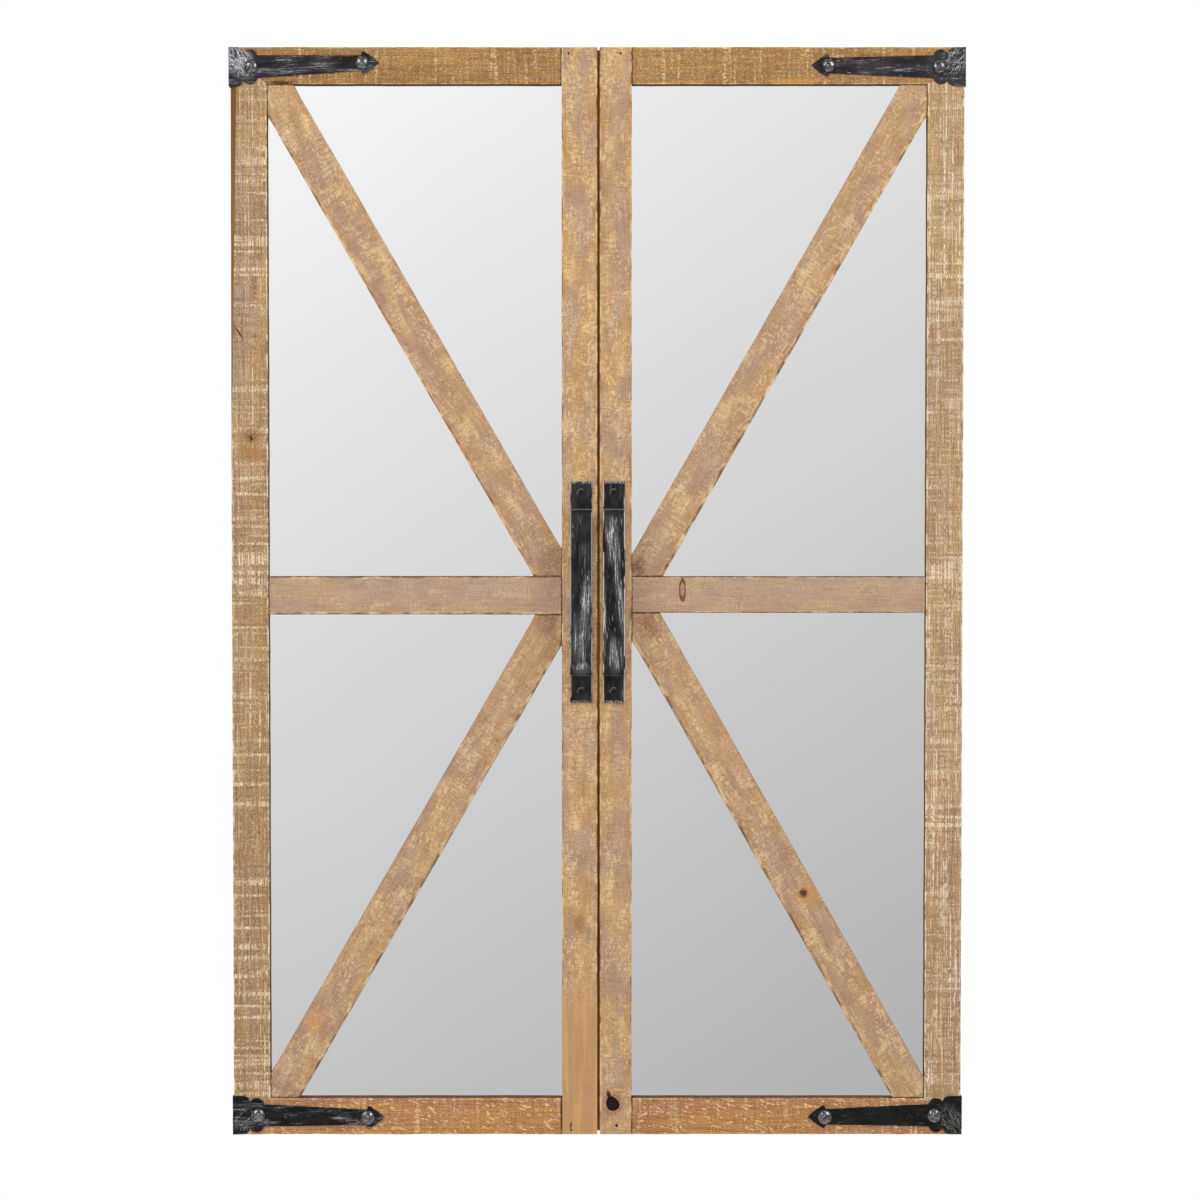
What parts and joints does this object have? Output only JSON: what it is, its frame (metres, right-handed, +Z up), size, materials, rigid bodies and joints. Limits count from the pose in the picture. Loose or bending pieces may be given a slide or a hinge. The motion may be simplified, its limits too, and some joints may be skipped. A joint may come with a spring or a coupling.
{
  "type": "shutter mirror",
  "caption": "Wall mirror made as a pair of rustic window shutters: framed leaves with braces over mirror glass, strap hinges and bar pulls on a slim hanging frame.",
  "frame": {"origin": "on the wall plane, on the back of the centre post, half-way across the leaves and half-way up", "axes": "+Y points back into the wall, so the leaves face -Y; +X to the right seen from the front; +Z up"},
  "size_m": [0.6164, 0.0623, 0.9144],
  "materials": {
    "stile_pine": "rough sawn, thin lime wash",
    "rail_pine": "rough sawn, honey stain",
    "brace_pine": "rough sawn, grey-tan stain",
    "frame_pine": "planed, brown stain",
    "hardboard": "smooth face",
    "mirror_glass": "polished",
    "black_iron": "black paint, dry-brushed silver",
    "pewter_iron": "hammered, satin",
    "zinc_steel": "zinc plated",
    "ferrite": "matt"
  },
  "bodies": {
    "frame": {"frame_left_post": "frame_pine", "frame_right_post": "frame_pine", "frame_head": "frame_pine", "frame_sill": "frame_pine", "frame_centre_post": "frame_pine", "left_top_jamb_leaf": "black_iron", "left_bottom_jamb_leaf": "black_iron", "right_top_jamb_leaf": "black_iron", "right_bottom_jamb_leaf": "black_iron", "left_top_hinge_pin": "black_iron", "left_bottom_hinge_pin": "black_iron", "right_top_hinge_pin": "black_iron", "right_bottom_hinge_pin": "black_iron", "left_magnet": "ferrite", "right_magnet": "ferrite", "left_hanger_plate": "zinc_steel", "right_hanger_plate": "zinc_steel", "left_hanger_screw": "zinc_steel", "right_hanger_screw": "zinc_steel"},
    "left_leaf": {"left_outer_stile": "stile_pine", "left_meeting_stile": "stile_pine", "left_top_rail": "rail_pine", "left_mid_rail": "brace_pine", "left_bottom_rail": "rail_pine", "left_top_brace": "brace_pine", "left_bottom_brace": "brace_pine", "left_mirror": "mirror_glass", "left_backing_board": "hardboard", "left_pull": "black_iron", "left_pull_top_screw": "black_iron", "left_pull_bottom_screw": "black_iron", "left_top_strap": "black_iron", "left_bottom_strap": "black_iron", "left_top_outer_nail": "pewter_iron", "left_top_inner_nail": "pewter_iron", "left_bottom_outer_nail": "pewter_iron", "left_bottom_inner_nail": "pewter_iron", "left_strike_plate": "zinc_steel"},
    "right_leaf": {"right_outer_stile": "stile_pine", "right_meeting_stile": "stile_pine", "right_top_rail": "rail_pine", "right_mid_rail": "brace_pine", "right_bottom_rail": "rail_pine", "right_top_brace": "brace_pine", "right_bottom_brace": "brace_pine", "right_mirror": "mirror_glass", "right_backing_board": "hardboard", "right_pull": "black_iron", "right_pull_top_screw": "black_iron", "right_pull_bottom_screw": "black_iron", "right_top_strap": "black_iron", "right_bottom_strap": "black_iron", "right_top_outer_nail": "pewter_iron", "right_top_inner_nail": "pewter_iron", "right_bottom_outer_nail": "pewter_iron", "right_bottom_inner_nail": "pewter_iron", "right_strike_plate": "zinc_steel"},
    "left_hanger_ring": {"left_hanger_ring": "zinc_steel"},
    "right_hanger_ring": {"right_hanger_ring": "zinc_steel"}
  },
  "joints": [
    {"name": "left_leaf_swing", "type": "hinge", "parent": "frame", "child": "left_leaf", "pos_m": [-0.30597, -0.0195, 0], "axis": [0, 0, 1], "range_deg": [-150, 0]},
    {"name": "right_leaf_swing", "type": "hinge", "parent": "frame", "child": "right_leaf", "pos_m": [0.30597, -0.0195, 0], "axis": [0, 0, 1], "range_deg": [0, 150]},
    {"name": "left_ring_turn", "type": "hinge", "parent": "frame", "child": "left_hanger_ring", "pos_m": [-0.28808, -0.0029, 0.3], "axis": [1, 0, 0], "range_deg": [0, 180]},
    {"name": "right_ring_turn", "type": "hinge", "parent": "frame", "child": "right_hanger_ring", "pos_m": [0.28808, -0.0029, 0.3], "axis": [1, 0, 0], "range_deg": [0, 180]}
  ]
}
